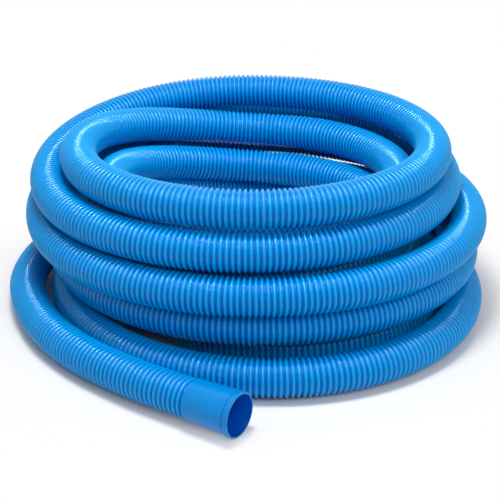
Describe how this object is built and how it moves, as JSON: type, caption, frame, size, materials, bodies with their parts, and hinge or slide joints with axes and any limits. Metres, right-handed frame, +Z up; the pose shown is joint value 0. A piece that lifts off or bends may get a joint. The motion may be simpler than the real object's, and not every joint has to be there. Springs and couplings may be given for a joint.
{
  "type": "vacuum hose",
  "caption": "Coiled ribbed suction hose for a pool or spa vacuum, with a plain moulded cuff on its free end and a freely turning swivel cuff on its inner end.",
  "frame": {"origin": "on the floor under the middle of the whole coil's box", "axes": "+Z up, the coil's axis; -Y towards the side where the free end and its cuff lie; +X to the right seen from there"},
  "size_m": [0.5899, 0.6688, 0.2155],
  "materials": {
    "hose": "semi-gloss ribbed polyethylene",
    "cuff": "smooth moulded soft plastic",
    "collar": "smooth moulded hard plastic"
  },
  "bodies": {
    "hose": {"hose_coil": "hose", "free_tail": "hose", "inner_tail": "hose", "fixed_cuff": "cuff", "swivel_insert": "cuff", "swivel_collar": "collar"},
    "swivel": {"swivel_cuff": "cuff"}
  },
  "joints": [
    {"name": "swivel_spin", "type": "hinge", "parent": "hose", "child": "swivel", "pos_m": [-0.12698, -0.01835, 0.025], "axis": [-0.342, 0.9397, 0], "continuous": true}
  ]
}
